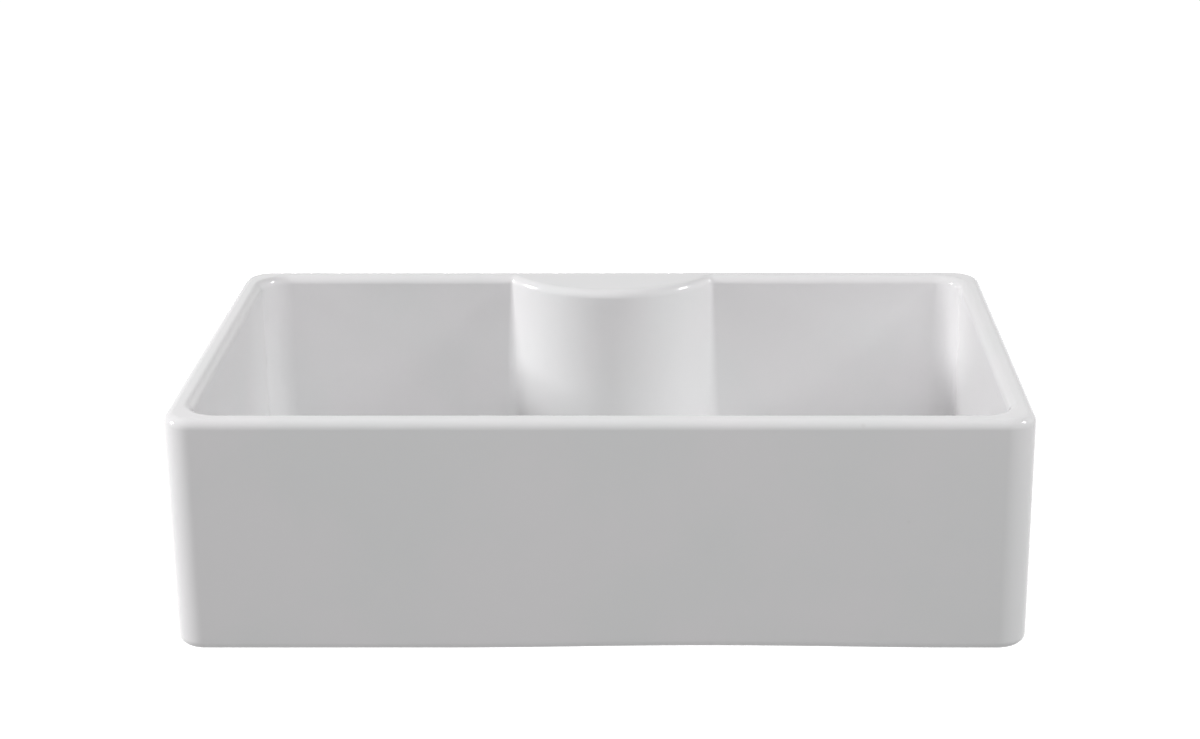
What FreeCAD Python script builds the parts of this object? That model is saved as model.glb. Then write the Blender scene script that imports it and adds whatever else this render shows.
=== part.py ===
"""Farmhouse apron-front sink: a fireclay basin with a bowed tap ledge, and the basket strainer in its drain.

Frame: millimetres, +Z up, +X to the right of someone at the sink, +Y towards the wall.
The origin is on the drain's axis, in the plane of the flat underside that the basin rests on.
"""

import FreeCAD, Part  # noqa: E401  FreeCAD has to be imported first
import math
import os

Vector = FreeCAD.Vector
UP = Vector(0, 0, 1)

# ---- basin, outside ----
basin_width = 760.0
basin_depth = 460.0
basin_height = 217.0
wall_thickness = 22.0
outer_corner_radius = 28.0
rim_outer_round = 9.0
rim_inner_round = 6.5
base_edge_round = 5.0

# ---- basin, inside ----
inner_corner_radius = 27.0
floor_round = 22.0
floor_thickness_at_drain = 26.0
floor_rise_per_mm = 0.0125

# ---- tap ledge: a bowed column in the middle of the back wall, hollow behind ----
ledge_reach = 76.0
ledge_bow_radius = 125.0
ledge_wall = 20.0
ledge_deck_thickness = 24.0
ledge_crease_top = 5.0
ledge_crease_foot = 26.0
tap_hole_radius = 17.5
tap_hole_skin = 8.0
tap_hole_from_ledge_face = 42.0
service_hollow_round = 8.0

# ---- drain opening in the basin ----
drain_hole_radius = 45.0
drain_seat_radius = 58.5
drain_seat_depth = 3.0
drain_edge_round = 2.0
under_recess_radius = 62.0
under_recess_depth = 4.0

# ---- strainer body: a deep-drawn cup with a flange ----
sheet = 1.2
flange_radius = 57.0
flange_lip_height = 2.1
flange_inner_height = 1.2
flange_lip_round = 0.84
shoulder_radius = 5.5
cup_inner_radius = 41.3
cup_floor_level = -30.5
cup_floor_round = 10.0
throat_radius = 19.5
neck_thread_height = 1.0
neck_thread_pitch = 2.4
neck_thread_top = 2.0
neck_thread_bottom = -19.0
flange_flat_radius = 50.0

# ---- seals and nuts on the strainer body ----
flange_seal_thickness = 0.8
flange_seal_inset = 1.0
seal_round_clearance = 0.2
gasket_thickness = 3.0
gasket_radius = 58.0
gasket_edge_round = 0.5
friction_ring_thickness = 0.8
friction_ring_radius = 56.5
thread_clearance = 0.15
locknut_height = 12.0
locknut_radius = 51.5
locknut_flange_radius = 56.0
locknut_flange_height = 2.6
locknut_edge_round = 0.8
locknut_flange_edge_round = 0.5
locknut_lugs = 8
locknut_lug_width = 8.0
locknut_lug_round = 1.6

# ---- outlet ----
outlet_thread_radius = 23.9
outlet_thread_depth = 1.3
outlet_thread_pitch = 2.31
outlet_length = 20.3
outlet_collar_radius = 27.0
outlet_collar_height = 2.4
outlet_collar_round = 0.6
outlet_wall = 1.6
cross_drop = 4.5
cross_height = 3.0
cross_bar_width = 3.2
cross_ring_wall = 1.5
cross_boss_radius = 5.5
cross_fit = 0.05
cross_stem_clearance = 0.3
coupling_washer_thickness = 2.0
coupling_height = 20.0
coupling_radius = 29.0
coupling_lip_height = 3.0
coupling_foot_round = 1.2
coupling_top_round = 0.8
coupling_bore_round = 0.4
coupling_ribs = 12
coupling_rib_radius = 2.6
coupling_rib_sunk = 0.4
tailpiece_radius = 19.05
tailpiece_clearance = 0.55

# ---- basket ----
basket_sheet = 0.8
basket_gap = 0.3
basket_floor_level = -15.5
basket_taper = 2.4
basket_foot_round = 6.8
basket_lip_angle = 60.0
basket_collar_height = 2.0
floor_hole_radius = 1.8
floor_hole_rings = (13.0, 20.0, 27.0)
floor_hole_pitch = 8.2
side_hole_radius = 1.8
side_hole_rows = (-4.0, 4.0, 12.0)
side_hole_pitch = 12.0

# ---- stopper that slides in the basket ----
stem_radius = 3.0
stem_fit = 0.08
stem_thread_radius = 2.5
stem_thread_fit = 0.05
stem_tip_below_cross = 1.5
stem_edge_round = 0.5
stopper_travel = 8.0
stopper_stop_gap = 0.3
guide_radius = 5.0
guide_foot_radius = 7.0
guide_foot_height = 1.0
guide_flange_radius = 8.5
guide_flange_height = 1.5
guide_height = 12.0
guide_foot_edge_round = 0.25
guide_flange_edge_round = 0.5
guide_top_round = 0.6
o_ring_section_radius = 0.62
o_ring_fit = 0.05
o_ring_below_guide_top = 3.5
plate_radius = 20.0
plate_thickness = 1.0
disc_radius = 27.0
disc_lip_width = 5.0
disc_web = 2.8
disc_inner_round = 0.4
disc_foot_round = 0.6
disc_shoulder_round = 1.6
washer_radius = 6.0
washer_thickness = 1.0
nut_across_flats = 8.0
nut_height = 4.0
knob_level = 9.0
knob_height = 17.0
knob_radius = 10.5
knob_neck_radius = 4.6
knob_waist_height = 7.14
knob_shoulder_height = 10.54
knob_foot_round = 0.4
knob_waist_round = 2.5
knob_shoulder_round = 2.0
knob_top_round = 2.5
knob_bore_depth = 9.0
knob_fit = 0.05

# ---- worked out from the sizes above ----
half_width = basin_width / 2
half_depth = basin_depth / 2
ledge_face_y = half_depth - ledge_reach
ledge_axis_y = ledge_face_y + ledge_bow_radius
tap_hole_y = ledge_face_y + tap_hole_from_ledge_face
drain_seat_level = floor_thickness_at_drain - drain_seat_depth
flange_under_level = drain_seat_level + flange_seal_thickness
neck_radius = cup_inner_radius + sheet
neck_crest_radius = neck_radius + neck_thread_height
nut_bore_radius = neck_crest_radius + thread_clearance
shoulder_axis_radius = cup_inner_radius + shoulder_radius
flange_inner_level = flange_under_level + flange_inner_height
shoulder_axis_level = flange_inner_level - shoulder_radius
gasket_level = under_recess_depth - gasket_thickness
friction_ring_level = gasket_level - friction_ring_thickness
outlet_top = cup_floor_level - sheet
outlet_bottom = outlet_top - outlet_length
cross_top = outlet_top - cross_drop
cross_bottom = cross_top - cross_height
coupling_lip_level = outlet_bottom - coupling_washer_thickness
coupling_bottom = coupling_lip_level - coupling_lip_height
tailpiece_bore_radius = tailpiece_radius + tailpiece_clearance
outlet_bore_radius = outlet_thread_radius - outlet_thread_depth - outlet_wall
basket_top_radius = cup_inner_radius - basket_gap
guide_foot_level = basket_floor_level - guide_foot_height
guide_top = basket_floor_level + basket_sheet + guide_height
plate_top = guide_foot_level - stopper_stop_gap - stopper_travel
plate_bottom = plate_top - plate_thickness
disc_bottom = cup_floor_level + basket_gap
washer_top = plate_bottom - disc_web
nut_top = washer_top - washer_thickness
stem_bottom = cross_bottom - stem_tip_below_cross
stem_thread_bore = stem_thread_radius + stem_thread_fit
stem_bore = stem_radius + stem_fit
stem_top = knob_level + knob_bore_depth
stem_tip_round = stem_thread_radius / 3


# ---- helpers ----
def rounded_outline(corners):
    """A closed wire in the XZ plane through (x, z, round) corners, each round a tangent arc."""
    points = [Vector(c[0], 0, c[1]) for c in corners]
    edges = []
    previous_end = None
    first_start = None
    for i, corner in enumerate(corners):
        here = points[i]
        back = (points[i - 1] - here).normalize()
        ahead = (points[(i + 1) % len(points)] - here).normalize()
        radius = corner[2] if len(corner) > 2 else 0.0
        if radius > 0:
            half_angle = back.getAngle(ahead) / 2
            reach = radius / math.tan(half_angle)
            start = here + back * reach
            end = here + ahead * reach
            bisector = (back + ahead).normalize()
            middle = here + bisector * (radius / math.sin(half_angle) - radius)
        else:
            start = end = here
        if previous_end is not None and previous_end.distanceToPoint(start) > 1e-7:
            edges.append(Part.LineSegment(previous_end, start).toShape())
        if radius > 0:
            edges.append(Part.Arc(start, middle, end).toShape())
        first_start = start if first_start is None else first_start
        previous_end = end
    if previous_end.distanceToPoint(first_start) > 1e-7:
        edges.append(Part.LineSegment(previous_end, first_start).toShape())
    return Part.Wire(edges)


def turned(corners):
    """The solid turned about the Z axis from an outline of (radius, height, round) corners."""
    face = Part.Face(rounded_outline(corners))
    return face.revolve(Vector(0, 0, 0), UP, 360)


def ring(inner, outer, bottom, top, round_=0.0):
    """A plain ring, its four edges rounded."""
    return turned(
        [(inner, bottom, round_), (outer, bottom, round_), (outer, top, round_), (inner, top, round_)]
    )


def cylinder(radius, bottom, top, x=0.0, y=0.0):
    return Part.makeCylinder(radius, top - bottom, Vector(x, y, bottom))


def around(count, shape, start=0.0):
    """Copies of a shape, evenly turned about the Z axis."""
    copies = []
    for i in range(count):
        copy = shape.copy()
        copy.rotate(Vector(0, 0, 0), UP, start + 360.0 * i / count)
        copies.append(copy)
    return copies


def thread_rings(root, crest, pitch, bottom, top):
    """Corners of a run of ring-shaped thread teeth, from bottom to top, as many whole ones as fit."""
    teeth = int((top - bottom) / pitch)
    corners = []
    for i in range(teeth):
        low = bottom + i * pitch
        corners += [(root, low + 0.1 * pitch), (crest, low + 0.4 * pitch)]
        corners += [(crest, low + 0.6 * pitch), (root, low + 0.9 * pitch)]
    return corners


def upright_edges(shape, x=None):
    """The vertical edges of a shape, or only those at a given |x|."""
    found = []
    for edge in shape.Edges:
        a = edge.Vertexes[0].Point
        b = edge.Vertexes[-1].Point
        if abs(a.z - b.z) < 1.0 or math.hypot(a.x - b.x, a.y - b.y) > 0.01:
            continue
        if x is not None and abs(abs(a.x) - x) > 0.5:
            continue
        found.append(edge)
    return found


def rounded_block(half_x, half_y, bottom, top, corner_radius):
    block = Part.makeBox(2 * half_x, 2 * half_y, top - bottom, Vector(-half_x, -half_y, bottom))
    return block.makeFillet(corner_radius, upright_edges(block))


# ---- basin ----
def bowl_space():
    """The room inside the bowl: it falls to the drain, rounds into the walls, and bends round the ledge."""
    above_rim = basin_height + 1.0
    space = rounded_block(
        half_width - wall_thickness, half_depth - wall_thickness, 0.0, above_rim, inner_corner_radius
    )
    space = space.cut(cylinder(ledge_bow_radius, -1.0, above_rim + 1.0, 0.0, ledge_axis_y))
    far = math.hypot(half_width, half_depth)
    cone_tip = floor_thickness_at_drain - drain_hole_radius * floor_rise_per_mm
    cone_top = cone_tip + far * floor_rise_per_mm
    cone = Part.makeCone(0.0, far, cone_top - cone_tip, Vector(0, 0, cone_tip))
    space = space.common(cone.fuse(cylinder(far, cone_top, above_rim))).removeSplitter()
    creases = [e for e in upright_edges(space) if abs(e.Vertexes[0].Point.x) < ledge_bow_radius]
    space = space.makeFillet(ledge_crease_foot, ledge_crease_top, creases)
    walls_foot = cone_top + floor_round
    return space.makeFillet(floor_round, [e for e in space.Edges if e.BoundBox.ZMax < walls_foot])


def rim_edges(solid):
    """The edges where the bowl's walls come up to the top face."""
    inside_x = half_width - wall_thickness / 2
    inside_y = half_depth - wall_thickness / 2
    found = []
    for edge in solid.Edges:
        box = edge.BoundBox
        level = abs(box.ZMin - basin_height) < 0.01 and abs(box.ZMax - basin_height) < 0.01
        if level and max(-box.XMin, box.XMax) < inside_x and max(-box.YMin, box.YMax) < inside_y:
            found.append(edge)
    return found


def circle_edges(solid, radius, level):
    """Full or part circles of one radius about the Z axis, near one level."""
    found = []
    for edge in solid.Edges:
        box = edge.BoundBox
        if abs(box.ZMin - level) < 1.0 and abs(box.ZMax - level) < 1.0:
            if abs(box.XMax - radius) < 0.05 and abs(box.YMax - radius) < 0.05:
                found.append(edge)
    return found


def service_hollow():
    """The room under the tap ledge, open to the back and below, where the tap is fastened and piped."""
    top = basin_height - ledge_deck_thickness
    column = cylinder(ledge_bow_radius - ledge_wall, -1.0, top, 0.0, ledge_axis_y)
    behind = Part.makeBox(basin_width, half_depth + 1.0, basin_height + 2.0, Vector(-half_width, 0, -1.0))
    hollow = column.common(behind)
    inner_edges = [
        e for e in hollow.Edges if e.BoundBox.ZMin > top - 0.01 and e.BoundBox.YMin < half_depth
    ]
    return hollow.makeFillet(service_hollow_round, inner_edges)


def sink_basin():
    """The glazed fireclay basin."""
    body = rounded_block(half_width, half_depth, 0.0, basin_height, outer_corner_radius)
    top_edges = [e for e in body.Edges if e.BoundBox.ZMin > basin_height - 0.01]
    body = body.makeFillet(rim_outer_round, top_edges)
    body = body.makeFillet(base_edge_round, [e for e in body.Edges if e.BoundBox.ZMax < 0.01])
    body = body.cut(bowl_space())
    body = body.makeFillet(rim_inner_round, rim_edges(body))
    body = body.cut(service_hollow())
    tap_hole_top = basin_height - tap_hole_skin
    deck_underside = basin_height - ledge_deck_thickness
    body = body.cut(cylinder(tap_hole_radius, deck_underside - 1.0, tap_hole_top, 0.0, tap_hole_y))
    body = body.cut(cylinder(under_recess_radius, -1.0, under_recess_depth))
    body = body.cut(cylinder(drain_hole_radius, 0.0, floor_thickness_at_drain))
    body = body.cut(cylinder(drain_seat_radius, drain_seat_level, basin_height))
    rounded = circle_edges(body, drain_seat_radius, floor_thickness_at_drain)
    rounded += circle_edges(body, drain_hole_radius, drain_seat_level)
    return body.makeFillet(drain_edge_round, rounded)


# ---- strainer body, its seals and nuts ----
def strainer_body():
    """The stainless cup: a flange over the drain opening, a threaded neck, and a floor with a throat."""
    section = [
        (throat_radius, outlet_top),
        (neck_radius, outlet_top, cup_floor_round + sheet),
    ]
    section += thread_rings(
        neck_radius, neck_crest_radius, neck_thread_pitch, neck_thread_bottom, neck_thread_top
    )
    section += [
        (neck_radius, flange_under_level, shoulder_radius - sheet),
        (flange_radius, flange_under_level),
        (flange_radius, flange_under_level + flange_lip_height, flange_lip_round),
        (flange_flat_radius, flange_inner_level),
        (cup_inner_radius, flange_inner_level, shoulder_radius),
        (cup_inner_radius, cup_floor_level, cup_floor_round),
        (throat_radius, cup_floor_level),
    ]
    return turned(section)


def flange_seal():
    """The bed of sealant between the flange and the basin."""
    inner = drain_hole_radius + drain_edge_round + seal_round_clearance
    return ring(inner, flange_radius - flange_seal_inset, drain_seat_level, flange_under_level)


def under_gasket():
    """The rubber ring pressed against the basin's underside."""
    return ring(nut_bore_radius, gasket_radius, gasket_level, under_recess_depth, gasket_edge_round)


def friction_ring():
    """The slip ring that lets the locknut turn without twisting the gasket."""
    return ring(nut_bore_radius, friction_ring_radius, friction_ring_level, gasket_level)


def locknut():
    """The large nut with gripping lugs that clamps the strainer body to the basin."""
    bottom = friction_ring_level - locknut_height
    nut = ring(nut_bore_radius, locknut_radius, bottom, friction_ring_level, locknut_edge_round)
    washer_face = friction_ring_level - locknut_flange_height
    flange = ring(
        nut_bore_radius, locknut_flange_radius, washer_face, friction_ring_level, locknut_flange_edge_round
    )
    nut = nut.fuse(flange)
    sunk = (locknut_radius - nut_bore_radius) / 2
    lug = Part.makeBox(
        locknut_flange_radius - locknut_radius + sunk,
        locknut_lug_width,
        washer_face - bottom,
        Vector(locknut_radius - sunk, -locknut_lug_width / 2, bottom),
    )
    lug = lug.makeFillet(locknut_lug_round, upright_edges(lug, x=locknut_flange_radius))
    return nut.fuse(around(locknut_lugs, lug)).removeSplitter()


# ---- outlet ----
def outlet_spigot():
    """The threaded outlet brazed under the strainer body."""
    thread_root = outlet_thread_radius - outlet_thread_depth
    thread_top = outlet_top - outlet_collar_height
    section = [(outlet_bore_radius, outlet_bottom), (thread_root, outlet_bottom)]
    section += thread_rings(
        thread_root, outlet_thread_radius, outlet_thread_pitch, outlet_bottom, thread_top
    )
    section += [
        (thread_root, thread_top),
        (outlet_collar_radius, thread_top, outlet_collar_round),
        (outlet_collar_radius, outlet_top),
        (outlet_bore_radius, outlet_top),
    ]
    return turned(section)


def outlet_cross():
    """The cross of two bars in the outlet, with a boss that guides the stem's tip."""
    rim = outlet_bore_radius - cross_fit
    cross = ring(rim - cross_ring_wall, rim, cross_bottom, cross_top)
    reach = rim - cross_ring_wall / 2
    bar = Part.makeBox(
        2 * reach, cross_bar_width, cross_height, Vector(-reach, -cross_bar_width / 2, cross_bottom)
    )
    boss = cylinder(cross_boss_radius, cross_bottom, cross_top)
    cross = cross.fuse([bar] + around(1, bar, 90.0) + [boss])
    bore = cylinder(stem_thread_radius + cross_stem_clearance, cross_bottom - 1.0, cross_top + 1.0)
    return cross.cut(bore).removeSplitter()


def coupling_washer():
    """The flat washer between the outlet's end and the waste pipe's flange."""
    return ring(tailpiece_bore_radius, outlet_thread_radius, coupling_lip_level, outlet_bottom)


def coupling_nut():
    """The ribbed nut that holds the waste pipe to the outlet."""
    top = coupling_bottom + coupling_height
    bore = outlet_thread_radius + thread_clearance
    section = [
        (tailpiece_bore_radius, coupling_bottom, coupling_bore_round),
        (coupling_radius, coupling_bottom, coupling_foot_round),
        (coupling_radius, top, coupling_top_round),
        (bore, top),
        (bore, coupling_lip_level),
        (tailpiece_bore_radius, coupling_lip_level),
    ]
    rib = cylinder(
        coupling_rib_radius,
        coupling_bottom + coupling_foot_round,
        top - coupling_top_round,
        coupling_radius - coupling_rib_sunk,
    )
    return turned(section).fuse(around(coupling_ribs, rib)).removeSplitter()


# ---- basket ----
def basket():
    """The perforated basket: its lip hangs on the shoulder of the strainer body."""
    lip = math.radians(basket_lip_angle)
    outer_arc = shoulder_radius + basket_gap
    inner_arc = outer_arc + basket_sheet
    inner_top_radius = basket_top_radius - basket_sheet
    foot_radius = basket_top_radius - basket_taper
    taper_top = shoulder_axis_level - basket_collar_height
    lip_x = math.cos(math.pi - lip)
    lip_z = math.sin(math.pi - lip)
    section = [
        (guide_radius, basket_floor_level),
        (foot_radius, basket_floor_level, basket_foot_round),
        (basket_top_radius, taper_top),
        (basket_top_radius, shoulder_axis_level + outer_arc * math.tan(lip / 2), outer_arc),
        (shoulder_axis_radius + outer_arc * lip_x, shoulder_axis_level + outer_arc * lip_z),
        (shoulder_axis_radius + inner_arc * lip_x, shoulder_axis_level + inner_arc * lip_z),
        (inner_top_radius, shoulder_axis_level + inner_arc * math.tan(lip / 2), inner_arc),
        (inner_top_radius, taper_top),
        (foot_radius - basket_sheet, basket_floor_level + basket_sheet, basket_foot_round - basket_sheet),
        (guide_radius, basket_floor_level + basket_sheet),
    ]
    holes = []
    for ring_radius in floor_hole_rings:
        through = basket_floor_level + basket_sheet + 1.0
        hole = cylinder(floor_hole_radius, basket_floor_level - 1.0, through, ring_radius)
        holes += around(int(2 * math.pi * ring_radius / floor_hole_pitch), hole)
    inner = foot_radius - 2 * basket_sheet
    per_row = int(2 * math.pi * foot_radius / side_hole_pitch)
    for row, level in enumerate(side_hole_rows):
        start = Vector(inner, 0, level)
        hole = Part.makeCylinder(side_hole_radius, 6 * basket_sheet, start, Vector(1, 0, 0))
        holes += around(per_row, hole, 180.0 / per_row * (row % 2))
    return turned(section).cut(holes)


def stem_guide():
    """The bush riveted into the basket's floor, in which the stem slides."""
    flange_top = basket_floor_level + basket_sheet + guide_flange_height
    groove_middle = guide_top - o_ring_below_guide_top
    groove_half = o_ring_section_radius + o_ring_fit
    groove_radius = stem_radius + o_ring_fit + 2 * o_ring_section_radius + o_ring_fit
    section = [
        (stem_bore, guide_foot_level),
        (guide_foot_radius, guide_foot_level, guide_foot_edge_round),
        (guide_foot_radius, basket_floor_level),
        (guide_radius, basket_floor_level),
        (guide_radius, basket_floor_level + basket_sheet),
        (guide_flange_radius, basket_floor_level + basket_sheet),
        (guide_flange_radius, flange_top, guide_flange_edge_round),
        (guide_radius, flange_top),
        (guide_radius, guide_top, guide_top_round),
        (stem_bore, guide_top),
        (stem_bore, groove_middle + groove_half),
        (groove_radius, groove_middle + groove_half),
        (groove_radius, groove_middle - groove_half),
        (stem_bore, groove_middle - groove_half),
    ]
    return turned(section)


def stem_seal_ring():
    """The rubber ring in the bush that grips the stem and holds the stopper up or down."""
    middle = guide_top - o_ring_below_guide_top
    return Part.makeTorus(
        stem_radius + o_ring_fit + o_ring_section_radius, o_ring_section_radius, Vector(0, 0, middle)
    )


# ---- stopper: everything on the sliding stem ----
def stopper_stem():
    """The stem: thick above the stopper's plate, threaded thin below it, its tip in the outlet's cross."""
    return turned([
        (0.0, stem_bottom),
        (stem_thread_radius, stem_bottom, stem_tip_round),
        (stem_thread_radius, plate_top),
        (stem_radius, plate_top),
        (stem_radius, stem_top, stem_edge_round),
        (0.0, stem_top),
    ])


def stopper_plate():
    """The plate above the rubber disc."""
    return ring(stem_thread_bore, plate_radius, plate_bottom, plate_top)


def stopper_disc():
    """The rubber disc, its outer lip closing on the floor of the strainer body."""
    return turned([
        (stem_thread_bore, washer_top),
        (disc_radius - disc_lip_width, washer_top, disc_inner_round),
        (disc_radius - disc_lip_width, disc_bottom),
        (disc_radius, disc_bottom, disc_foot_round),
        (disc_radius, plate_bottom, disc_shoulder_round),
        (stem_thread_bore, plate_bottom),
    ])


def stopper_washer():
    """The washer under the rubber disc."""
    return ring(stem_thread_bore, washer_radius, nut_top, washer_top)


def stopper_nut():
    """The hexagon nut that holds the disc on the stem."""
    corner = nut_across_flats / math.sqrt(3)
    corners = []
    for i in range(7):
        angle = math.radians(60.0 * i)
        corners.append(Vector(corner * math.cos(angle), corner * math.sin(angle), nut_top - nut_height))
    blank = Part.Face(Part.makePolygon(corners)).extrude(UP * nut_height)
    return blank.cut(cylinder(stem_thread_bore, nut_top - nut_height - 1.0, nut_top + 1.0))


def stopper_knob():
    """The turned knob at the top of the stem."""
    top = knob_level + knob_height
    bore = stem_radius + knob_fit
    return turned([
        (bore, knob_level),
        (knob_neck_radius, knob_level, knob_foot_round),
        (knob_neck_radius, knob_level + knob_waist_height, knob_waist_round),
        (knob_radius, knob_level + knob_shoulder_height, knob_shoulder_round),
        (knob_radius, top, knob_top_round),
        (0.0, top),
        (0.0, stem_top),
        (bore, stem_top),
    ])


def main():
    pieces = {
        "sink_basin": sink_basin(),
        "strainer_body": strainer_body(),
        "flange_seal": flange_seal(),
        "under_gasket": under_gasket(),
        "friction_ring": friction_ring(),
        "locknut": locknut(),
        "outlet_spigot": outlet_spigot(),
        "outlet_cross": outlet_cross(),
        "coupling_washer": coupling_washer(),
        "coupling_nut": coupling_nut(),
        "basket": basket(),
        "stem_guide": stem_guide(),
        "stem_seal_ring": stem_seal_ring(),
        "stopper_stem": stopper_stem(),
        "stopper_plate": stopper_plate(),
        "stopper_disc": stopper_disc(),
        "stopper_washer": stopper_washer(),
        "stopper_nut": stopper_nut(),
        "stopper_knob": stopper_knob(),
    }
    os.makedirs("parts", exist_ok=True)
    for name, shape in pieces.items():
        solids = shape.Solids
        if not solids or not shape.isValid():
            raise ValueError(name + " isn't a sound solid")
        shape = solids[0] if len(solids) == 1 else Part.makeCompound(solids)
        shape.exportStep("parts/" + name + ".step")
        box = shape.BoundBox
        volume = shape.Volume / 1000
        print(f"{name:16s} {len(solids)} solid  z {box.ZMin:8.2f} {box.ZMax:8.2f}  {volume:9.2f} cm3")


main()
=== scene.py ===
"""Looks of a farmhouse apron-front sink.

The glazed fireclay basin with its bowed tap ledge is modelled here, and the pieces of its basket strainer
get their finishes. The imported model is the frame, in metres: +X to the right, +Y towards the wall, +Z up,
the origin on the drain's axis in the plane of the basin's underside.
"""

import math

import bpy
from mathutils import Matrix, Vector


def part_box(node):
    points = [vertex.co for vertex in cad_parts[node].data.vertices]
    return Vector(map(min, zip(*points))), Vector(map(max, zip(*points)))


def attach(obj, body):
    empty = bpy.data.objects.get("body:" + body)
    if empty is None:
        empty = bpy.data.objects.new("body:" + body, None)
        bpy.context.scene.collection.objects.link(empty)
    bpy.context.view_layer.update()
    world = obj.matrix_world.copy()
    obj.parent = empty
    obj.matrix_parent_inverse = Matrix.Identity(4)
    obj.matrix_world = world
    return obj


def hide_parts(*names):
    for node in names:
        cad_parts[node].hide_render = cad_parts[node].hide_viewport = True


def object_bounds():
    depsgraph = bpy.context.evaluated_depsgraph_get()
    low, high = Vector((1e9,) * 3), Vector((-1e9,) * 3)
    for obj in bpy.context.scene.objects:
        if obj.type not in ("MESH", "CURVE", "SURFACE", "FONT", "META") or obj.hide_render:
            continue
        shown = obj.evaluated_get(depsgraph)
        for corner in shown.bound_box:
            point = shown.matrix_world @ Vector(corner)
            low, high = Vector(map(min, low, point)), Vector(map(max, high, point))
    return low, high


bl_info = {
    "name": "Apron-front sink",
    "version": (1, 0, 0),
    "blender": (4, 5, 0),
    "location": "View3D > Sidebar > Sink",
    "description": "Models and dresses a fireclay apron-front sink and its basket strainer",
    "category": "Object",
}

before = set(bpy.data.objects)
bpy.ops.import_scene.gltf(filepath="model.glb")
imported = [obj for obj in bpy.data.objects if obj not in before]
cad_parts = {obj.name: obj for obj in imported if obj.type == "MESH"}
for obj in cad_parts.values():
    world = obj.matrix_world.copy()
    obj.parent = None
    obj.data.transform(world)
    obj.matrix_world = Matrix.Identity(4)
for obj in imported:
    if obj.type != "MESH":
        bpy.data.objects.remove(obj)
cad_low, cad_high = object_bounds()
basin_low, basin_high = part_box("sink_basin")


# ---- sizes and colours ----
def length(name, description, default):
    return bpy.props.FloatProperty(
        name=name, description=description, default=default, min=0.0, unit="LENGTH", precision=4
    )


def colour(name, description, default):
    return bpy.props.FloatVectorProperty(
        name=name, description=description, default=default, size=3, min=0.0, max=1.0, subtype="COLOR"
    )


def factor(name, description, default, high=1.0):
    return bpy.props.FloatProperty(
        name=name, description=description, default=default, min=0.0, max=high, subtype="FACTOR"
    )


def power(name, description, default):
    return bpy.props.FloatProperty(
        name=name, description=description, default=default, min=0.0, unit="POWER"
    )


class BasinSizes(bpy.types.PropertyGroup):
    wall: length("Wall", "Thickness of the basin's four walls", 0.022)
    outer_corner: length("Outer corner", "Radius of the basin's upright corners", 0.028)
    inner_corner: length("Inner corner", "Radius of the bowl's upright corners", 0.027)
    rim_outer: length("Rim outside", "Round between the rim and the outside", 0.009)
    rim_inner: length("Rim inside", "Round between the rim and the bowl", 0.0085)
    base_edge: length("Base edge", "Round along the foot of the walls", 0.008)
    floor_level: length("Floor level", "Height of the bowl's floor at the drain", 0.026)
    floor_rise: factor("Floor rise", "How much the floor rises for each metre away from the drain", 0.0125)
    floor_round: length("Floor round", "Round between the bowl's floor and walls", 0.022)
    ledge_reach: length("Ledge reach", "From the basin's back to the front of the tap ledge", 0.076)
    ledge_bow: length("Ledge bow", "Radius of the tap ledge's bowed front", 0.125)
    crease_top: length("Crease at the rim", "Round where the ledge meets the back wall, at the rim", 0.005)
    crease_foot: length("Crease at the floor", "The same round at the floor", 0.026)
    ledge_wall: length("Ledge wall", "Thickness of the ledge's bowed wall", 0.020)
    deck: length("Ledge deck", "Thickness of the ledge's top", 0.024)
    drain_hole: length("Drain hole", "Radius of the hole in the floor", 0.045)
    drain_seat: length("Drain seat", "Radius of the shallow seat round the hole", 0.0585)
    seat_level: length("Seat level", "Height of the drain's seat", 0.023)
    drain_edge: length("Drain edges", "Round on the edges of the hole and its seat", 0.002)
    under_recess: length("Recess below", "Radius of the recess under the drain", 0.062)
    under_depth: length("Recess depth", "Depth of the recess under the drain", 0.004)
    tap_hole: length("Tap hole", "Radius of the blind hole under the ledge", 0.0175)
    tap_skin: length("Tap hole skin", "Fireclay left above the blind tap hole", 0.008)
    tap_set_back: length("Tap set-back", "From the ledge's front to the tap hole's middle", 0.042)
    service_round: length("Hollow's round", "Round at the top of the hollow under the ledge", 0.008)
    warp_lift: length("Warp", "How far the kiln has lifted the apron's foot", 0.0022)
    warp_side: length("Warp side", "How far right of the middle the foot is lifted most", 0.09)
    warp_reach: length("Warp reach", "How far the lift spreads along the foot", 0.21)


class GlazeLook(bpy.types.PropertyGroup):
    white: colour("Glaze", "Colour of the glaze", (0.808, 0.798, 0.807))
    shade: colour("Glaze drift", "Colour that the glaze drifts to in soft patches", (0.787, 0.789, 0.793))
    speck: colour("Specks", "Colour of the few faint specks in the glaze", (0.52, 0.50, 0.48))
    roughness: factor("Roughness", "Roughness of the glaze", 0.09)


class FittingLook(bpy.types.PropertyGroup):
    steel: colour("Steel", "Colour of the stainless pieces", (0.60, 0.60, 0.595))
    polished: colour("Polished metal", "Colour of the knob and stem", (0.77, 0.775, 0.78))
    plated: colour("Plated brass", "Colour of the nuts and the outlet", (0.66, 0.65, 0.62))
    brass: colour("Bare brass", "Brass that shows through worn plating", (0.58, 0.42, 0.20))
    rubber: colour("Rubber", "Colour of the gasket, stopper and stem seal", (0.028, 0.028, 0.030))
    dust: colour("Dust", "Pale bloom and dust on the rubber", (0.16, 0.155, 0.15))
    fibre: colour("Fibre", "Colour of the slip ring", (0.40, 0.27, 0.15))
    sealant: colour("Sealant", "Colour of the bed under the flange", (0.66, 0.63, 0.56))
    nylon: colour("Nylon", "Colour of the coupling washer", (0.74, 0.73, 0.69))
    dried_water: colour("Dried water", "Colour of dried drops on the steel", (0.72, 0.71, 0.69))


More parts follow.
